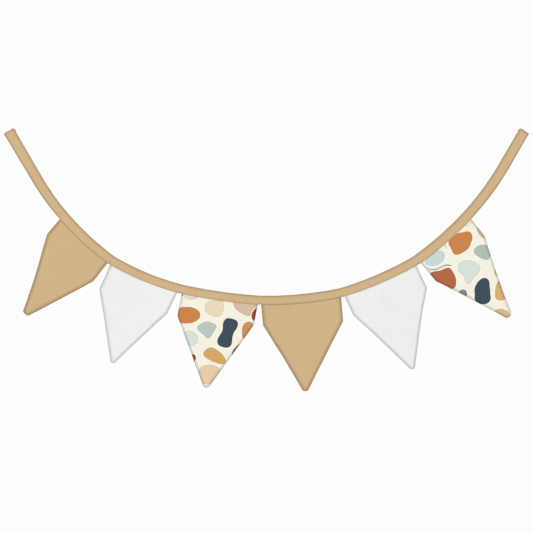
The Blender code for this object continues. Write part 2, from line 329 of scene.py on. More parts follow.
class Flat:
    """A pennant laid flat: x across and z up from the middle of the line between its two
    top corners."""

    def __init__(self, binding, row, seed):
        self.row = row
        self.binding = binding
        self.start, self.end = binding.span(row.stretch)
        corners = on_binding(binding.at(np.array((self.start, self.end))), np.zeros(2))
        self.middle = corners.mean(axis=0)
        chord = corners[1] - corners[0]
        self.slope = math.atan2(chord[2], chord[0])
        self.along, self.up = axes_at(np.array(self.slope))
        draw = random.Random(seed)
        self.waves = [[(draw.uniform(0.5, 1.0), number, draw.uniform(0, 2 * math.pi))
                       for number in SIDE_WAVE_NUMBERS] for _ in range(2)]
        half = np.linalg.norm(chord) / 2
        self.corners = np.array(((-half, 0.0), (half, 0.0)))
        self.shoulders = np.array((
            (-half - row.left.flare * MM, -row.left.drop * MM),
            (half + row.right.flare * MM, -row.right.drop * MM),
        ))
        self.hollows = (row.left.hollow * MM, -row.right.hollow * MM)
        tip_top = np.array((row.tip.lean, row.tip.round - row.tip.drop)) * MM
        aside = np.array((row.tip.width * MM / 2, 0.0))
        self.tips = np.array((tip_top - aside, tip_top + aside))
        self.side_length = float(np.linalg.norm(self.shoulders[0] - self.corners[0])
                                 + np.linalg.norm(self.tips[0] - self.shoulders[0]))

    def to_flat(self, points):
        away = points - self.middle
        return np.stack((away @ self.along, away @ self.up), axis=-1)

    def to_space(self, flat, depth):
        points = self.middle + flat[..., :1] * self.along + flat[..., 1:] * self.up
        points[..., 1] = depth
        return points

    def in_binding(self, u, height):
        """Flat points under the binding and how far back they stand."""
        place = self.binding.at(lerp(self.start, self.end, u))
        points = on_binding(place, np.broadcast_to(height, np.shape(u)))
        return self.to_flat(points), place.middle[..., 1]

    def side(self, hand, v):
        """One side of the outline, its shoulder rounded and its edges a little wavy."""
        corner, shoulder, end = self.corners[hand], self.shoulders[hand], self.tips[hand]
        v = np.asarray(v, float)[..., None]

        def plain(v):
            upper = lerp(corner, shoulder, v / SHOULDER_AT)
            share = (v - SHOULDER_AT) / (1.0 - SHOULDER_AT)
            lower = lerp(shoulder, end, share)
            lower[..., :1] += self.hollows[hand] * np.sin(math.pi * share)
            return np.where(v <= SHOULDER_AT, upper, lower)

        near, far = SHOULDER_AT - SHOULDER_ROUNDING, SHOULDER_AT + SHOULDER_ROUNDING
        t = np.clip((v - near) / (far - near), 0.0, 1.0)
        rounded = (plain(np.full_like(v, near)) * (1 - t) ** 2 + shoulder * 2 * t * (1 - t)
                   + plain(np.full_like(v, far)) * t**2)
        line = np.where((v > near) & (v < far), rounded, plain(v))
        wave = sum(size * np.sin(math.pi * number * v + phase)
                   for size, number, phase in self.waves[hand])
        line[..., :1] += wave * SIDE_WAVE_HEIGHT * np.sin(math.pi * np.clip(v, 0, 1))
        return line

    def tip(self, u):
        """The blunt end, flat in the middle and turned up at its two corners."""
        u = np.asarray(u, float)[..., None]
        points = lerp(self.tips[0], self.tips[1], u)
        depth = 1.0 - np.abs(2.0 * u - 1.0) ** self.row.tip.square
        points[..., 1:] -= self.row.tip.round * MM * depth
        return points

    def patch(self, u, v):
        """Flat points between the binding's lower edge, the two sides and the tip."""
        left, right = self.side(0, v), self.side(1, v)
        edge, _ = self.in_binding(u, 0.0)
        u, v = u[..., None], v[..., None]
        top_curve = edge - lerp(self.corners[0], self.corners[1], u)
        tip_curve = self.tip(u[..., 0]) - lerp(self.tips[0], self.tips[1], u)
        return lerp(left, right, u) + top_curve * (1 - v) + tip_curve * v**TIP_CURVE_POWER

    def outline(self):
        """The sewn rim as one line: down the left side, round the tip and up the right."""
        heights = np.linspace(TUCK, 0.0, TUCK_POINTS)[:-1]
        v = np.linspace(0.0, 1.0, SIDE_POINTS)
        u = np.linspace(0.0, 1.0, TIP_POINTS)[1:-1]
        left_tuck, _ = self.in_binding(np.zeros_like(heights), heights)
        right_tuck, _ = self.in_binding(np.ones_like(heights), heights)
        return np.concatenate((left_tuck, self.side(0, v), self.tip(u),
                               self.side(1, v)[::-1], right_tuck[::-1]))


def nearest_on_line(points, line):
    """How far each point is from a line of points, and how far along it the nearest is."""
    starts, steps = line[:-1], np.diff(line, axis=0)
    squares = np.maximum((steps**2).sum(axis=1), LEAST_SQUARE)
    lengths = np.sqrt(squares)
    begins = np.concatenate(([0.0], np.cumsum(lengths)[:-1]))
    away, along = np.empty(len(points)), np.empty(len(points))
    for first in range(0, len(points), POINTS_AT_A_TIME):
        part = slice(first, first + POINTS_AT_A_TIME)
        offset = points[part, None] - starts
        share = np.clip((offset * steps).sum(axis=2) / squares, 0.0, 1.0)
        gaps = np.linalg.norm(offset - share[..., None] * steps, axis=2)
        best = gaps.argmin(axis=1)
        rows = np.arange(len(best))
        away[part] = gaps[rows, best]
        along[part] = begins[best] + share[rows, best] * lengths[best]
    return away, along


def down_shares(length):
    """Where a pennant has its lines across, crowded at the lip, the shoulders and the tip."""
    lip = LIP_STEPS / length
    tip = 1.0 - RIM_STEPS / length
    corner = np.arange(-CORNER_REACH, CORNER_REACH + CORNER_STEP / 2, CORNER_STEP) / length
    corner = corner + SHOULDER_AT
    runs = []
    for begin, end in ((lip[-1], corner[0]), (corner[-1], tip[-1])):
        count = max(LEAST_DOWN, round((end - begin) * length / GRID_STEP))
        runs.append(np.linspace(begin, end, count + 1)[1:-1])
    return np.concatenate((lip, runs[0], corner, runs[1], tip[::-1]))


def across_shares(width, count):
    """Where a line of this width has its points, crowded at both rims."""
    near = RIM_STEPS * min(1.0, RIMS_MOST * width / RIM_STEPS[-1]) / width
    inside = np.linspace(near[-1], 1.0 - near[-1], count)[1:-1]
    return np.concatenate((near, inside, 1.0 - near[::-1]))


def pennant_grid(flat):
    """Flat points, depths and how far below the binding's lip, for each row and column."""
    top_width = float(np.linalg.norm(flat.corners[1] - flat.corners[0]))
    count = max(LEAST_ACROSS, round(top_width / GRID_STEP))
    rows = []
    u = across_shares(top_width, count)
    for height in TUCK_STEPS:
        rows.append((*flat.in_binding(u, height), np.full(len(u), -height)))
    for v in down_shares(flat.side_length):
        sides = flat.side(0, np.array(v)), flat.side(1, np.array(v))
        u = across_shares(float(np.linalg.norm(sides[1] - sides[0])), count)
        points = flat.patch(u, np.full(len(u), v))
        edge, depth = flat.in_binding(u, 0.0)
        rows.append((points, depth, np.maximum(0.0, edge[:, 1] - points[:, 1])))
    return [np.array(column) for column in zip(*rows)]


def hang(flat, points, downs, seed):
    """How far the hanging cloth stands towards the back: its bow, twist and unevenness."""
    row = flat.row.hang
    width = flat.corners[1, 0] - flat.corners[0, 0]
    across = np.clip(points[..., 0] / width + 0.5, 0.0, 1.0)
    share = np.clip(downs / (flat.row.tip.drop * MM), 0.0, 1.1)
    fade = smooth(downs / BOW_DEPTH)
    bow = row.bow * np.sin(math.pi * across) * fade * (1.0 - np.clip(share, 0, 1))
    shape = bow + row.twist * (across - 0.5) * fade + row.tip_back * share**2
    uneven = SoftNoise(seed, HANG_WAVES).at(points[..., 0], points[..., 1])
    return shape * MM + uneven * smooth(downs / HANG_RISE)


def rippled(ripple, distance, wander, layer):
    """The height of a ripple at distances along it, in one of the two layers."""
    turn = 2 * math.pi * distance / ripple.pitch
    return ripple.height * np.sin(turn + ripple.wander * wander + ripple.step * layer)


def half_thickness(points, downs, away, along, seed, layer):
    """Half of the thickness at each point of one layer, from its place along the rim."""
    x, z = points[..., 0], points[..., 1]
    loft = SoftNoise(seed + LOFT_SEED_STEP * layer, LOFT_WAVES).at(x, z)
    wander = SoftNoise(seed + WANDER_SEED_STEP, WANDER_WAVES).at(along, np.zeros_like(along))
    at_seam = bump_at(away, SEAM_RIPPLE_AT, SEAM_RIPPLE_REACH)
    at_lip = smooth(downs / GATHERS_START) * np.exp(-np.maximum(downs, 0) / GATHERS_FADE)
    plump = lerp(SEAM_HALF, INNER_HALF, smooth((away - ALLOWANCE) / ALLOWANCE_STEP))
    plump = plump + loft * smooth((away - LOFT_START) / LOFT_RISE)
    plump = plump + rippled(SEAM_RIPPLE, along, wander, layer) * at_seam
    plump = plump + rippled(GATHERS, x, wander, layer) * at_lip
    plump = lerp(TUCKED_HALF, plump, smooth(downs / LIP_RISE))
    rim = np.sqrt(np.clip(1.0 - (1.0 - np.minimum(away / RIM_ROUNDING, 1.0)) ** 2, 0.0, 1.0))
    return plump * rim


def quads(upper, lower):
    """Quads between two lines of vertex numbers, with the second below the first."""
    return np.stack((upper[:-1], lower[:-1], lower[1:], upper[1:]), axis=-1)


def tube_faces(number, uv):
    """Quads between closed rings of vertex numbers and a cap at each end. The corners take
    their cloth coordinates from a grid with one column more than the rings have points."""
    closed = np.hstack((number, number[:, :1]))
    place = np.arange(closed.size).reshape(closed.shape)
    faces, uvs = [], []
    for i in range(len(number) - 1):
        faces.extend(quads(closed[i], closed[i + 1]).tolist())
        uvs.extend(uv.reshape(-1, 2)[quads(place[i], place[i + 1]).ravel()])
    faces.extend((number[0, ::-1].tolist(), number[-1].tolist()))
    uvs.extend([(0.0, 0.0)] * (2 * number.shape[1]))
    return faces, uvs


def make_piece(name, points, faces, uvs, materials, which, attributes):
    """A smooth mesh object with its cloth coordinates, material numbers and attributes."""
    mesh = bpy.data.meshes.new(name)
    mesh.from_pydata(points.tolist(), [], faces)
    layer = mesh.uv_layers.new(name="cloth")
    layer.data.foreach_set("uv", np.asarray(uvs, np.float32).ravel())
    for label, values in attributes.items():
        attribute = mesh.attributes.new(label, "FLOAT", "POINT")
        attribute.data.foreach_set("value", np.asarray(values, np.float32))
    for material in materials:
        mesh.materials.append(material)
    mesh.polygons.foreach_set("material_index", np.asarray(which, np.int32))
    mesh.polygons.foreach_set("use_smooth", np.ones(len(mesh.polygons), bool))
    mesh.validate()
    mesh.update()
    obj = bpy.data.objects.new(name, mesh)
    bpy.context.scene.collection.objects.link(obj)
    return obj


def pennant_faces(front, back, front_uv, back_material):
    """Faces over both layers and the open top, with their cloth coordinates and materials."""
    back_uv = front_uv * np.array((-1.0, 1.0))
    faces, corner_uvs, which = [], [], []

    def add(quad_list, uv, number):
        """Keep these quads, where two corners are one as triangles."""
        for quad in quad_list:
            face = list(dict.fromkeys(quad))
            if len(face) > 2:
                faces.append(face)
                corner_uvs.extend(uv[corner % len(front_uv)] for corner in face)
                which.append(number)

    for j in range(len(front) - 1):
        add(quads(front[j], front[j + 1]).tolist(), front_uv, 0)
        add(quads(back[j + 1], back[j]).tolist(), back_uv, back_material)
    add(quads(back[0], front[0]).tolist(), front_uv, 0)
    return faces, corner_uvs, which


def declare_pennant_sheet(flat):
    """Works out the pennant's flat width and its closed outline, which takes in the part tucked
    into the binding, and keeps neither.
    """
    v = np.linspace(0, 1, TIP_POINTS)
    width = float(flat.side(1, v)[:, 0].max() - flat.side(0, v)[:, 0].min())
    ring = np.concatenate((flat.outline(), flat.outline()[:1]))


def build_pennant(binding, row, seed, materials):
    """Both layers of one pennant as a closed form, sewn together along its rim."""
    flat = Flat(binding, row, seed)
    points, depths, downs = pennant_grid(flat)
    middle = depths + hang(flat, points, downs, seed)
    nearest = nearest_on_line(points.reshape(-1, 2), flat.outline())
    away, along = (part.reshape(downs.shape) for part in nearest)
    front_half, back_half = (half_thickness(points, downs, away, along, seed, layer)
                             for layer in (0, 1))
    rim = np.zeros(downs.shape, bool)
    rim[:, 0] = rim[:, -1] = rim[-1, :] = True
    front = np.arange(downs.size).reshape(downs.shape)
    back = np.where(rim, front, front + downs.size)
    front_points = flat.to_space(points, middle - np.where(rim, 0, front_half))
    back_points = flat.to_space(points, middle + np.where(rim, 0, back_half))
    vertices = np.concatenate((front_points.reshape(-1, 3), back_points.reshape(-1, 3)))
    faces, corner_uvs, which = pennant_faces(front, back, points.reshape(-1, 2),
                                             len(materials) - 1)
    used = np.unique(np.concatenate([np.asarray(face) for face in faces]))
    number = np.full(len(vertices), -1)
    number[used] = np.arange(len(used))
    faces = [[int(number[corner]) for corner in face] for face in faces]
    # Painted shade along the sewn rim, for the rim attribute.
    rim_shade = edge_shade(np.tile(away.ravel(), 2)[used], RIM_SHADES[row.cloth])
    # Painted shadow right under the binding's lower edge, for the lip attribute.
    under_lip = bump_at(np.tile(downs.ravel(), 2)[used], 0.0, LIP_SHADOW_REACH)
    obj = make_piece(f"{row.stretch}_cloth", vertices[used], faces, corner_uvs, materials, which,
                     {"rim": rim_shade, "lip": LIP_SHADOWS[row.cloth] * under_lip})
    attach(obj, "root")
    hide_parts(f"{row.stretch}_{row.cloth}")
    declare_pennant_sheet(flat)


# The binding's turned-in ends. offsets are how far out the end stands, in millimetres, at
# shares of the way from the lip to the fold, and sign is the way out. Near the end the fold
# side swells by ear_rise, ear_at from the end and over ear_reach.
End = namedtuple("End", "sign offsets ear_rise ear_at ear_reach")
END_SHARES = (0.0, 0.06, 0.12, 0.27, 0.42, 0.52, 0.6, 0.68, 0.76, 0.84, 0.9, 0.96, 1.0)
LEFT_END = End(
    -1.0, (0.5, 1.1, 1.5, 2.1, 1.5, 1.0, 0.8, 1.2, 1.8, 1.9, 1.5, 0.6, -0.6),
    1.3 * MM, 4.0 * MM, 3.5 * MM,
)
RIGHT_END = End(
    1.0, (-0.5, 0.5, 1.1, 1.6, 1.3, 1.3, 1.7, 2.2, 2.5, 2.2, 1.5, 0.1, -1.8),
    0.9 * MM, 2.4 * MM, 2.2 * MM,
)
END_REACH = 7.0 * MM
END_ROUNDING = 1.2 * MM
END_THINNEST = 0.03
NECK_DEPTH = 0.35 * MM
NECK_AT = 8.0 * MM
NECK_REACH = 2.5 * MM
FOOT_RISE = 0.5 * MM

# The folded section: shares of the way up a leg's outside and inside, and degrees round
# its lip, its fold and the inside of its fold.
LEG_SHARES = np.array((0.04, 0.08, 0.12, 0.16, 0.22, 0.3, 0.4, 0.52, 0.64, 0.76, 0.87, 0.95))
INSIDE_SHARES = np.array((0.3, 0.65))
LIP_TURN = np.radians((0, 36, 72, 108, 144, 180))
FOLD_TURN = np.radians((0, 22, 45, 67, 90, 113, 135, 158, 180))
INNER_FOLD_TURN = np.radians((0, 60, 120, 180))
PUFF = 0.22 * MM
PUFF_START = 2.6 * MM
SEAM_DENT = 0.2 * MM
SEAM_DENT_REACH = 0.7 * MM
CREASE_SLANT = (0.9, 0.35)

# Distances from each end at which the binding has sections, and how far apart they are.
END_STEPS = np.array((0.0, 0.05, 0.2, 0.45, 0.8, 1.3, 2.0, 3.0, 4.2, 5.6, 7.0)) * MM
SECTION_STEP = 1.5 * MM
BINDING_BIAS = math.radians(45)


def section(gap, width, puff):
    """The closed section of the folded binding at one station: heights above the lip and
    depths, from the top of the inside of the front leg round to the back's."""
    outer = gap + BINDING_CLOTH
    lip = BINDING_CLOTH / 2
    top = width - outer
    heights = lerp(lip, top, LEG_SHARES)
    puffed = puff * np.sin(math.pi * np.clip((heights - PUFF_START) / (top - PUFF_START), 0, 1))
    out = outer + puffed - SEAM_DENT * bump_at(heights, STITCH_HEIGHT, SEAM_DENT_REACH)
    lip_heights = lip - lip * np.sin(LIP_TURN)
    lip_depths = gap + lip - lip * np.cos(LIP_TURN)
    inside = lerp(top, lip, INSIDE_SHARES)
    gaps = np.full(len(inside), gap)
    all_heights = np.concatenate((
        inside, lip_heights, heights, top + outer * np.sin(FOLD_TURN), heights[::-1],
        lip_heights[::-1], inside[::-1], top + gap * np.sin(INNER_FOLD_TURN)[::-1],
    ))
    all_depths = np.concatenate((
        -gaps, -lip_depths, -out, -outer * np.cos(FOLD_TURN), out[::-1], lip_depths[::-1],
        gaps, gap * np.cos(INNER_FOLD_TURN),
    ))
    return all_heights, all_depths


def binding_distances(total):
    count = round((total - 2 * END_STEPS[-1]) / SECTION_STEP)
    inside = np.linspace(END_STEPS[-1], total - END_STEPS[-1], count)[1:-1]
    return np.concatenate((END_STEPS, inside, total - END_STEPS[::-1]))


def shaped_end(end, from_end, share):
    """How far the binding stands up, and out along itself, near one of its ends."""
    near = 1.0 - smooth(from_end / END_REACH)
    ear = end.ear_rise * bump_at(from_end, end.ear_at, end.ear_reach)
    neck = NECK_DEPTH * bump_at(from_end, NECK_AT, NECK_REACH)
    rise = (ear - neck) * smooth(2 * share - 1) - FOOT_RISE * near * smooth(1 - 2 * share)
    return rise, end.sign * np.interp(share, END_SHARES, end.offsets) * MM * near


def binding_sections(binding, distances):
    """The points of each section of the binding and how dark painted shade makes its cloth there.
    """
    places = binding.at(distances)
    along, up = axes_at(places.slope)
    from_end = np.minimum(distances, binding.total - distances)
    rounding = 1.0 - np.minimum(from_end / END_ROUNDING, 1.0)
    flatness = np.maximum(np.sqrt(1.0 - rounding**2), END_THINNEST)
    level = np.zeros_like(distances)
    puffs = PUFF + SoftNoise(PUFF_SEED, PUFF_WAVES).at(distances, level)
    wobbles = SoftNoise(BINDING_EDGE_SEED, BINDING_EDGE_WAVES).at(distances, level)
    creases = SoftNoise(CREASE_SEED, CREASE_WAVES)
    over = (places.half_gap - CLOSED_HALF_GAP) / (OPEN_HALF_GAP - CLOSED_HALF_GAP)
    rows, edges = [], []
    for i, distance in enumerate(distances):
        width = places.width[i]
        heights, depths = section(places.half_gap[i], width, puffs[i])
        share = heights / width
        crease = creases.at(distance + heights * CREASE_SLANT[0], heights * CREASE_SLANT[1])
        depths = depths + np.sign(depths) * crease * np.sin(math.pi * np.clip(share, 0, 1))
        end = LEFT_END if distance < binding.total / 2 else RIGHT_END
        rise, out = shaped_end(end, from_end[i], share)
        heights = heights + wobbles[i] * (2 * share - 1) + rise
        points = (places.middle[i] + up[i] * (heights - width / 2)[:, None]
                  + along[i] * out[:, None])
        points[:, 1] += depths * flatness[i]
        rows.append(points)
        # Painted shade along the lip, the fold and the ends, for the rim attribute.
        lip_shade = lerp(edge_shade(heights, LIP_ALONE), edge_shade(heights, LIP_OVER_PENNANT),
                         over[i])
        fold_shade = edge_shade(width - heights, FOLD_SHADE)
        end_shade = edge_shade(from_end[i], END_SHADE)
        edges.append(np.maximum(np.maximum(lip_shade, fold_shade), end_shade))
    return np.array(rows), np.array(edges)


def bias_coordinates(section_points, distances):
    """Cloth coordinates along the binding and round its section, with the cloth cut on the
    bias."""
    sides = np.diff(section_points, axis=0, append=section_points[:1])
    girth = np.concatenate(([0.0], np.cumsum(np.linalg.norm(sides, axis=1))))
    cosine, sine = math.cos(BINDING_BIAS), math.sin(BINDING_BIAS)
    x, z = distances[:, None], girth[None]
    return np.stack((x * cosine - z * sine, x * sine + z * cosine), axis=-1)


def build_binding(binding, material, thread):
    """The folded binding as one closed form, and its row of stitches."""
    distances = binding_distances(binding.total)
    rows, edges = binding_sections(binding, distances)
    coordinates = bias_coordinates(rows[len(rows) // 2], distances)
    faces, uvs = tube_faces(np.arange(edges.size).reshape(edges.shape), coordinates)
    obj = make_piece("binding_cloth", rows.reshape(-1, 3), faces, uvs, [material],
                     [0] * len(faces), {"rim": edges.ravel(), "lip": np.zeros(edges.size)})
    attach(obj, "root")
    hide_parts("binding")
    stitches = build_stitches(binding, thread)


def stitch_rings(binding, centre, height, tilt, side):
    """The points of one stitch, ring by ring, on the binding's front or its back."""
    turn = np.radians(np.arange(STITCH_SIDES) * 360.0 / STITCH_SIDES)
    place = binding.at(centre + STITCH_SHARES * STITCH_LENGTH)
    _, up = axes_at(place.slope)
    surface = place.half_gap + BINDING_CLOTH - THREAD_SUNK - STITCH_SINK
    line = on_binding(place, height + tilt * STITCH_SHARES * STITCH_LENGTH)
    sideways = np.cos(turn)[None, :, None] * STITCH_GIRTH[:, None, None]
    rings = line[:, None] + up[:, None] * sideways
    outwards = surface[:, None] + np.sin(turn)[None] * STITCH_GIRTH[:, None]
    rings[..., 1] += side * outwards
    return rings


def build_stitches(binding, material):
    """One row of stitches near the binding's lower edge, on its front and its back."""
    draw = random.Random(STITCH_SEED)
    rings_each = len(STITCH_SHARES)
    grain = np.moveaxis(np.indices((rings_each, STITCH_SIDES + 1)), 0, -1) * STITCH_GRAIN
    number = np.arange(rings_each * STITCH_SIDES).reshape(rings_each, STITCH_SIDES)
    points, faces, uvs = [], [], []
    for index in range(int((binding.total - 2 * STITCH_MARGIN) / STITCH_PITCH)):
        middle = STITCH_MARGIN + (index + 0.5) * STITCH_PITCH
        height = STITCH_HEIGHT + draw.uniform(-STITCH_JITTER, STITCH_JITTER) * MM
        tilt = draw.uniform(-STITCH_TILT, STITCH_TILT)
        for side, shift in ((-1.0, 0.0), (1.0, 0.5 * STITCH_PITCH)):
            stitch, stitch_uvs = tube_faces(number + number.size * len(points), grain)
            rings = stitch_rings(binding, middle + shift, height, tilt, side)
            points.append(rings.reshape(-1, 3))
            faces.extend(face[::-1] if side < 0 else face for face in stitch)
            uvs.extend(stitch_uvs)
    obj = make_piece("binding_stitches", np.concatenate(points), faces, uvs, [material],
                     [0] * len(faces), {})
    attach(obj, "root")
    return obj


# Materials

LIGHT_LEVEL = 1.04
MOST_ALBEDO = 0.95


def seen_as(red, green, blue):
    """The albedo that shows as this 8-bit sRGB colour in the stage's light."""
    channels = []
    for value in (red, green, blue):
        value = value / 255
        linear = value / 12.92 if value <= 0.04045 else ((value + 0.055) / 1.055) ** 2.4
        channels.append(min(linear / LIGHT_LEVEL, MOST_ALBEDO))
    return (*channels, 1.0)


def put(tree, kind, inputs=None, **settings):
    """A new node with these settings, each input a value or another node's output."""
    node = tree.nodes.new(kind)
    for name, value in settings.items():
        setattr(node, name, value)
    for name, value in (inputs or {}).items():
        if isinstance(value, bpy.types.NodeSocket):
            tree.links.new(value, node.inputs[name])
        else:
            node.inputs[name].default_value = value
    return node


def calc(tree, operation, *values):
    return put(tree, "ShaderNodeMath", dict(enumerate(values)), operation=operation).outputs[0]


def ramp(tree, value, low, high, to_low=0.0, to_high=1.0):
    """A value mapped smoothly from one range to another."""
    node = put(tree, "ShaderNodeMapRange",
               {"Value": value, "From Min": low, "From Max": high, "To Min": to_low,
                "To Max": to_high}, interpolation_type="SMOOTHSTEP")
    return node.outputs["Result"]


def mix_colour(tree, share, first, second, how="MIX"):
    node = put(tree, "ShaderNodeMix", {0: share, 6: first, 7: second}, data_type="RGBA",
               blend_type=how)
    return node.outputs[2]


def noise(tree, vector, scale, detail=3.0, roughness=0.55):
    node = put(tree, "ShaderNodeTexNoise", {"Vector": vector, "Scale": scale, "Detail": detail,
                                            "Roughness": roughness}, noise_dimensions="3D")
    return node.outputs["Fac"]


def stretched(tree, vector, across, down):
    node = put(tree, "ShaderNodeMapping", {"Vector": vector, "Scale": (across, down, 1.0)})
    return node.outputs["Vector"]


THREAD_PITCH = 0.5 * MM
SHEEN = 0.12
TAN = (207, 177, 134)
WHITE = (237, 237, 237)
THREAD_TANS = ((196, 165, 122), (214, 185, 142))

# What the cloth's colour is multiplied by for painted shade at its edges and for painted
# shadow right under the binding.
RIM_SHADE_TINTS = {
    "tan": (0.54, 0.46, 0.36, 1.0), "white": (0.56, 0.56, 0.565, 1.0),
    "print": (0.56, 0.55, 0.52, 1.0),
}
LIP_SHADOW_TINT = (0.56, 0.50, 0.50, 1.0)

# Waves to a metre in the cloth's unevenness, along its threads and across them, and in the
# patchiness of the painted edge shade.
LONG_GRAIN = 90.0
FINE_GRAIN = 1500.0
MOTTLE_GRAIN = 42.0
RIM_SHADE_GRAIN = 160.0
FUZZ_GRAIN = 900.0


def plain_weave(tree, cloth):
    """Relief of a plain weave: crossings that stand proud in turn, as in a chequerboard."""
    parts = put(tree, "ShaderNodeSeparateXYZ", {"Vector": cloth})
    waves = [calc(tree, "SINE", calc(tree, "MULTIPLY", parts.outputs[axis],
                                     math.pi / THREAD_PITCH)) for axis in ("X", "Y")]
    return calc(tree, "MULTIPLY", *waves)


def finish_cloth(tree, colour, cloth, rim_shade_tint):
    """Weave, uneven threads, mottling, painted shade at the edges and in the weave's hollows,
    and painted shadow under the binding, over a colour, to the output.
    """
    weave = plain_weave(tree, cloth)
    warp = noise(tree, stretched(tree, cloth, LONG_GRAIN, FINE_GRAIN), 1.0, 2.0)
    weft = noise(tree, stretched(tree, cloth, FINE_GRAIN, LONG_GRAIN), 1.0, 2.0)
    mottle = noise(tree, cloth, MOTTLE_GRAIN, 4.0, 0.6)
    slubs = calc(tree, "ADD", warp, weft)
    light = calc(tree, "ADD", ramp(tree, slubs, 0.7, 1.3, 0.97, 1.03),
                 ramp(tree, mottle, 0.3, 0.7, -0.012, 0.012))
    # Painted shade of the weave's relief: the colour is a little darker where its crossings sink.
    light = calc(tree, "ADD", light, calc(tree, "MULTIPLY", weave, 0.018))
    grey = put(tree, "ShaderNodeCombineColor", {"Red": light, "Green": light, "Blue": light})
    colour = mix_colour(tree, 1.0, colour, grey.outputs[0], "MULTIPLY")
    # Painted shade along the edges, from the rim attribute, made a little patchy by noise.
    rim = put(tree, "ShaderNodeAttribute", attribute_name="rim").outputs["Fac"]
    painted_rim_shade = calc(tree, "MULTIPLY", rim,
                ramp(tree, noise(tree, cloth, RIM_SHADE_GRAIN, 2.0), 0.3, 0.7, 0.86, 1.0))
    colour = mix_colour(tree, painted_rim_shade, colour, mix_colour(tree, 1.0, colour, rim_shade_tint, "MULTIPLY"))
    # Painted shadow right under the binding's lower edge, from the lip attribute.
    lip = put(tree, "ShaderNodeAttribute", attribute_name="lip").outputs["Fac"]
    colour = mix_colour(tree, lip, colour, mix_colour(tree, 1.0, colour, LIP_SHADOW_TINT, "MULTIPLY"))
    fuzz = noise(tree, cloth, FUZZ_GRAIN, 2.0)
    height = calc(tree, "ADD", calc(tree, "MULTIPLY", weave, 0.5),
                  calc(tree, "ADD", calc(tree, "MULTIPLY", slubs, 0.7), fuzz))
    bump = put(tree, "ShaderNodeBump", {"Strength": 0.35, "Distance": 0.12 * MM,
                                        "Height": height})
    shader = put(tree, "ShaderNodeBsdfPrincipled", {
        "Base Color": colour,
        "Roughness": ramp(tree, slubs, 0.6, 1.4, 0.82, 0.96),
        "Normal": bump.outputs[0],
        "Specular IOR Level": 0.22,
        "Sheen Weight": SHEEN,
        "Sheen Roughness": 0.55,
    })
    put(tree, "ShaderNodeOutputMaterial", {"Surface": shader.outputs[0]})


def new_material(name):
    material = bpy.data.materials.new(name)
    material.use_nodes = True
    material.node_tree.nodes.clear()
    return material


def cloth_coordinates(tree):
    return put(tree, "ShaderNodeUVMap", uv_map="cloth").outputs[0]


def plain_cloth(name, colour, rim_shade_tint):
    material = new_material(name)
    tree = material.node_tree
    finish_cloth(tree, seen_as(*colour), cloth_coordinates(tree), rim_shade_tint)
    material.diffuse_color = seen_as(*colour)
    return material


# Print

# Inks of the common pebble print, as the 8-bit colours that they show.
INKS = {
    "blush": (230, 214, 196), "orange": (202, 131, 70), "amber": (206, 142, 80),
    "sand": (233, 215, 184), "clay": (214, 187, 160), "dun": (212, 184, 150),
    "rust": (156, 66, 40), "sage": (184, 199, 190), "fern": (175, 190, 180),
    "navy": (57, 74, 88), "mint": (213, 224, 215), "brown": (150, 116, 96),
    "mustard": (212, 167, 100), "honey": (217, 174, 112), "peach": (231, 202, 169),
    "ivory": (242, 228, 206), "blue": (202, 213, 215), "terracotta": (181, 101, 66),
    "teal": (120, 146, 141), "grey": (186, 188, 170),
}
CREAM = (244, 240, 224)
HALO = (250, 248, 238)
HALO_SHARE = 0.85
RIM_OF_INK = 0.88

# One row for each pebble on the flat cloth, charted one by one. Places and half sizes are
# millimetres, from the middle of the pennant's top edge with y up, and angles are degrees.
# corners are the angles at which the outline swells or draws in, and by what share.
Pebble = namedtuple("Pebble", "ink x y half_width half_height turn corners")
PRINT_A = (
    Pebble("blush", -60, 2, 16.5, 10.5, 2, ()),
    Pebble("orange", -57.5, -39.5, 23.5, 16.5, 8, ((140, 0.15), (220, 0.15), (315, -0.05))),
    Pebble("sand", -9, -19.5, 19, 16.5, 8,
           ((40, 0.28), (137, 0.16), (233, -0.1), (309, 0.12))),
    Pebble("clay", 53, -3.5, 23.5, 18, -2, ((292, 0.22), (52, 0.1), (172, 0.12))),
    Pebble("rust", 76.5, -18.5, 9, 13.5, -17, ()),
    Pebble("sage", -17, -60.5, 15, 14, 8, ((175, 0.36), (17, 0.28), (278, 0.46))),
    Pebble("navy", 24.5, -63.5, 11.5, 23, -10,
           ((60, 0.6), (120, 0.54), (240, 0.6), (300, 0.54))),
    Pebble("amber", 63.5, -53, 11.5, 16.5, 8, ((241, 0.25), (60, 0.2))),
    Pebble("mint", -49.5, -85.5, 18, 16, 0, ()),
    Pebble("brown", 46.5, -95, 5, 14, -28, ()),
    Pebble("mustard", 6.5, -112.5, 20.5, 12, -25,
           ((357, 0.2), (146, 0.14), (212, 0.38), (258, 0.08))),
    Pebble("rust", -37, -123.5, 6, 8, -2, ()),
    Pebble("peach", 0.5, -151, 23, 19.5, 8,
           ((140, 0.08), (40, 0.05), (222, 0.2), (300, -0.05))),
    Pebble("mustard", -76.5, 0, 2, 4, 8, ()),
)
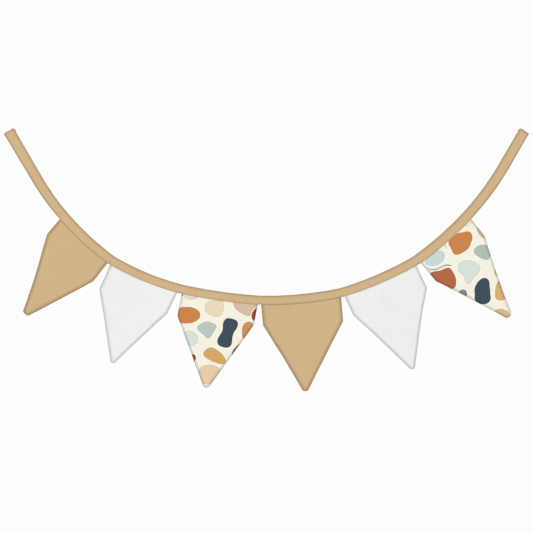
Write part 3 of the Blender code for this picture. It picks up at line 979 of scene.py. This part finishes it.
PRINT_B = (
    Pebble("ivory", 60.5, -3, 12.5, 4.5, -1, ()),
    Pebble("orange", 19.5, -22, 20.5, 18, -1,
           ((346, 0.12), (10, 0.38), (66, 0.14), (134, 0.27), (203, 0.27))),
    Pebble("dun", 65.5, -32, 7, 15.5, -11, ()),
    Pebble("fern", 41, -63.5, 16.5, 14, -53,
           ((184, 0.08), (318, 0.26), (238, -0.08), (60, 0.12))),
    Pebble("blue", -39, -10.5, 21.5, 14.5, -17, ()),
    Pebble("terracotta", -51.5, -52, 21, 16.5, -26,
           ((48, 0.26), (150, 0.5), (332, 0.16), (298, 0.65))),
    Pebble("mint", -2.5, -72.5, 19, 19, -41,
           ((8, 0.22), (142, 0.16), (172, 0.18), (264, 0.62), (234, -0.2), (294, -0.1))),
    Pebble("teal", -44.5, -101, 9, 9, -41, ((60, 0.08),)),
    Pebble("navy", -11.5, -123, 15.5, 23.5, -41,
           ((68, 0.26), (307, 0.27), (236, 0.22), (165, 0.05))),
    Pebble("honey", 18.5, -148.5, 14, 18, -41, ((112, 0.25), (230, 0.22), (311, -0.1))),
    Pebble("dun", 36, -114, 6, 9.5, -26, ()),
    Pebble("dun", -10.5, -182.5, 15.5, 9, -59, ((194, 0.1),)),
    Pebble("grey", -7.5, -7.5, 1, 5, -8, ()),
)
CORNER_SHARPNESS = 10.0

# How far each chart is moved over the cloth, in millimetres across and up.
PRINT_A_MOVED = (0.6, -1.2)
PRINT_B_MOVED = (-0.4, -0.9)


def turned_about(tree, cloth, centre, turn):
    """Cloth coordinates as seen from a mark's own centre and turned with it."""
    away = put(tree, "ShaderNodeVectorMath", {0: cloth, 1: (*centre, 0.0)},
               operation="SUBTRACT")
    return put(tree, "ShaderNodeVectorRotate",
               {"Vector": away.outputs[0], "Angle": -math.radians(turn)},
               rotation_type="Z_AXIS").outputs[0]


def swollen(tree, angle, corners):
    """The outline's radius at an angle, as a share of the ellipse's."""
    outline = 1.0
    for at, rise in corners:
        away = calc(tree, "SUBTRACT", angle, math.radians(at))
        near = calc(tree, "MULTIPLY_ADD", calc(tree, "COSINE", away), CORNER_SHARPNESS,
                    -CORNER_SHARPNESS)
        outline = calc(tree, "MULTIPLY_ADD", calc(tree, "EXPONENT", near), rise, outline)
    return outline


def add_pebble(tree, cloth, colour, row):
    """The colour so far with one pebble printed over it, in a thin pale line."""
    own = turned_about(tree, cloth, (row.x, row.y), row.turn)
    half_size = (row.half_width, row.half_height, 1.0)
    scaled = put(tree, "ShaderNodeVectorMath", {0: own, 1: half_size}, operation="DIVIDE")
    radius = put(tree, "ShaderNodeVectorMath", {0: scaled.outputs[0]}, operation="LENGTH")
    parts = put(tree, "ShaderNodeSeparateXYZ", {"Vector": own})
    angle = calc(tree, "ARCTAN2", parts.outputs["Y"], parts.outputs["X"])
    past = calc(tree, "SUBTRACT", radius.outputs["Value"], swollen(tree, angle, row.corners))
    past = calc(tree, "MULTIPLY", past, (row.half_width + row.half_height) / 2)
    ink = seen_as(*INKS[row.ink])
    dark = tuple(RIM_OF_INK * channel for channel in ink[:3]) + (1.0,)
    colour = mix_colour(tree, ramp(tree, past, 1.2, 2.6, HALO_SHARE, 0.0), colour,
                        seen_as(*HALO))
    inked = mix_colour(tree, ramp(tree, past, -2.2, -0.6), ink, dark)
    return mix_colour(tree, ramp(tree, past, -0.35, 0.35, 1.0, 0.0), colour, inked)


# A thin brush line of the print: millimetres and degrees, as for the pebbles.
STROKE_AT = (-43.0, -31.5)
STROKE_TURN = -44.0
STROKE_HALF_LENGTH = 29.5
STROKE_RISE = 5.5
STROKE_HALF_WIDTH = 0.95
STROKE_END = 0.72


def add_stroke(tree, cloth, colour):
    """A thin wavy line, finer towards its left end."""
    own = turned_about(tree, cloth, STROKE_AT, STROKE_TURN)
    parts = put(tree, "ShaderNodeSeparateXYZ", {"Vector": own})
    share = calc(tree, "DIVIDE", parts.outputs["X"], STROKE_HALF_LENGTH)
    wave = calc(tree, "MULTIPLY", calc(tree, "SINE", calc(tree, "MULTIPLY", share, math.pi)),
                STROKE_RISE)
    off = calc(tree, "ABSOLUTE", calc(tree, "SUBTRACT", parts.outputs["Y"], wave))
    width = ramp(tree, share, -1.1, -0.3, 0.25 * STROKE_HALF_WIDTH, STROKE_HALF_WIDTH)
    past = calc(tree, "SUBTRACT", off, width)
    ends = calc(tree, "MULTIPLY", ramp(tree, share, -1.05, -0.95),
                ramp(tree, share, STROKE_END, STROKE_END + 0.03, 1.0, 0.0))
    halo = calc(tree, "MULTIPLY", ramp(tree, past, 0.8, 2.2, HALO_SHARE, 0.0), ends)
    line = calc(tree, "MULTIPLY", ramp(tree, past, -0.3, 0.3, 1.0, 0.0), ends)
    colour = mix_colour(tree, halo, colour, seen_as(*HALO))
    return mix_colour(tree, line, colour, seen_as(*INKS["navy"]))


def printed_cloth(name, chart, moved):
    """Cream cotton with a chart of pebbles, their outlines a little uneven."""
    material = new_material(name)
    tree = material.node_tree
    cloth = cloth_coordinates(tree)
    in_mm = put(tree, "ShaderNodeVectorMath",
                {0: cloth, 1: (1.0 / MM, 1.0 / MM, 1.0 / MM), 2: (-moved[0], -moved[1], 0.0)},
                operation="MULTIPLY_ADD")
    wander = put(tree, "ShaderNodeTexNoise", {"Vector": in_mm.outputs[0], "Scale": 0.11,
                                              "Detail": 1.0}, noise_dimensions="3D")
    shift = put(tree, "ShaderNodeVectorMath",
                {0: wander.outputs["Color"], 1: (0.5, 0.5, 0.5)}, operation="SUBTRACT")
    uneven = put(tree, "ShaderNodeVectorMath",
                 {0: shift.outputs[0], 1: (1.3, 1.3, 0.0), 2: in_mm.outputs[0]},
                 operation="MULTIPLY_ADD")
    colour = seen_as(*CREAM)
    for row in chart:
        colour = add_pebble(tree, uneven.outputs[0], colour, row)
    if chart is PRINT_B:
        colour = add_stroke(tree, uneven.outputs[0], colour)
    finish_cloth(tree, colour, cloth, RIM_SHADE_TINTS["print"])
    material.diffuse_color = seen_as(*CREAM)
    return material


def thread_material():
    """Twisted sewing thread in the cloth's own colour."""
    material = new_material("sewing_thread")
    tree = material.node_tree
    cloth = cloth_coordinates(tree)
    twist = put(tree, "ShaderNodeTexWave", {"Vector": cloth, "Scale": 900.0, "Distortion": 0.4},
                bands_direction="DIAGONAL").outputs["Fac"]
    colour = mix_colour(tree, twist, *(seen_as(*tan) for tan in THREAD_TANS))
    bump = put(tree, "ShaderNodeBump", {"Strength": 0.4, "Distance": 0.05 * MM, "Height": twist})
    shader = put(tree, "ShaderNodeBsdfPrincipled", {
        "Base Color": colour, "Roughness": ramp(tree, twist, 0.0, 1.0, 0.7, 0.85),
        "Normal": bump.outputs[0], "Specular IOR Level": 0.3, "Sheen Weight": 0.1,
    })
    put(tree, "ShaderNodeOutputMaterial", {"Surface": shader.outputs[0]})
    return material


# Stage

CAMERA_X = -0.0002
CAMERA_HEIGHT = -0.2702
FRAME_WIDTH = 1.066
LENS = 85.0
SENSOR = 36.0
BACKGROUND_LEVEL = 0.98
WORLD_FILL = 0.41
FLOOR_PLACE = (0.0, -0.3, -1.3)
FLOOR_RADIUS = 2.6
FLOOR_FADE = (0.9, 2.3)
FLOOR_GREYS = ((0.80, 0.80, 0.80, 1.0), (0.82, 0.82, 0.82, 1.0))
PALE = (1.0, 1.0, 1.0, 1.0)

# The softboxes: metres from the origin, and watts. All aim at the pennants.
Softbox = namedtuple("Softbox", "name place size power")
SOFTBOXES = (
    Softbox("key", (-1.8, -5.0, 2.3), 2.2, 157.0),
    Softbox("fill", (2.1, -4.8, -0.3), 2.6, 56.0),
    Softbox("back", (1.4, 4.8, 1.6), 2.6, 90.0),
)
LIGHTS_AIM = (0.0, 0.0, -0.25)


def add_camera():
    data = bpy.data.cameras.new("camera")
    data.lens = LENS
    data.sensor_width = SENSOR
    camera = bpy.data.objects.new("camera", data)
    distance = FRAME_WIDTH / 2 / (SENSOR / 2 / LENS)
    camera.location = (CAMERA_X, -distance, CAMERA_HEIGHT)
    camera.rotation_euler = (math.pi / 2, 0.0, 0.0)
    bpy.context.scene.collection.objects.link(camera)
    bpy.context.scene.camera = camera


def add_softbox(row):
    data = bpy.data.lights.new(row.name, "AREA")
    data.shape = "DISK"
    data.size = row.size
    data.energy = row.power
    light = bpy.data.objects.new(row.name, data)
    light.location = row.place
    direction = Vector(LIGHTS_AIM) - Vector(row.place)
    light.rotation_mode = "QUATERNION"
    light.rotation_quaternion = direction.to_track_quat("-Z", "Y")
    bpy.context.scene.collection.objects.link(light)


def add_world():
    """A pale background, which lights the object less than it shows."""
    world = bpy.data.worlds.new("studio")
    world.use_nodes = True
    tree = world.node_tree
    tree.nodes.clear()
    seen = put(tree, "ShaderNodeLightPath").outputs["Is Camera Ray"]
    dim = put(tree, "ShaderNodeBackground", {"Color": PALE, "Strength": WORLD_FILL})
    pale = put(tree, "ShaderNodeBackground", {"Color": PALE, "Strength": BACKGROUND_LEVEL})
    both = put(tree, "ShaderNodeMixShader", {0: seen, 1: dim.outputs[0], 2: pale.outputs[0]})
    put(tree, "ShaderNodeOutputWorld", {"Surface": both.outputs[0]})
    bpy.context.scene.world = world


def add_floor():
    """A pale round floor below, which fades into the background towards its rim."""
    bpy.ops.mesh.primitive_circle_add(vertices=96, radius=FLOOR_RADIUS, fill_type="NGON",
                                      location=FLOOR_PLACE)
    floor = bpy.context.object
    floor.name = "floor"
    material = new_material("pale_floor")
    tree = material.node_tree
    place = put(tree, "ShaderNodeTexCoord").outputs["Object"]
    reach = put(tree, "ShaderNodeVectorMath", {0: place}, operation="LENGTH").outputs["Value"]
    fade = ramp(tree, reach, *FLOOR_FADE)
    grain = noise(tree, place, 6.0)
    colour = mix_colour(tree, grain, *FLOOR_GREYS)
    matte = put(tree, "ShaderNodeBsdfDiffuse", {"Color": colour})
    pale = put(tree, "ShaderNodeEmission", {"Color": PALE, "Strength": BACKGROUND_LEVEL})
    both = put(tree, "ShaderNodeMixShader", {0: fade, 1: matte.outputs[0], 2: pale.outputs[0]})
    put(tree, "ShaderNodeOutputMaterial", {"Surface": both.outputs[0]})
    floor.data.materials.append(material)


def dress_stage():
    scene = bpy.context.scene
    scene.view_settings.view_transform = "Standard"
    scene.view_settings.look = "None"
    add_camera()
    add_world()
    add_floor()
    for row in SOFTBOXES:
        add_softbox(row)


def main():
    binding = Binding()
    tan = [plain_cloth("tan_cotton", TAN, RIM_SHADE_TINTS["tan"])]
    white = [plain_cloth("white_cotton", WHITE, RIM_SHADE_TINTS["white"])]
    first = printed_cloth("printed_cotton_a", PRINT_A, PRINT_A_MOVED)
    second = printed_cloth("printed_cotton_b", PRINT_B, PRINT_B_MOVED)
    materials = {
        "pennant_1": tan, "pennant_2": white, "pennant_3": [first, second],
        "pennant_4": tan, "pennant_5": white, "pennant_6": [second, first],
    }
    build_binding(binding, tan[0], thread_material())
    for index, row in enumerate(PENNANTS):
        seed = PENNANT_SEED + PENNANT_SEED_STEP * index
        build_pennant(binding, row, seed, materials[row.stretch])
    dress_stage()


main()
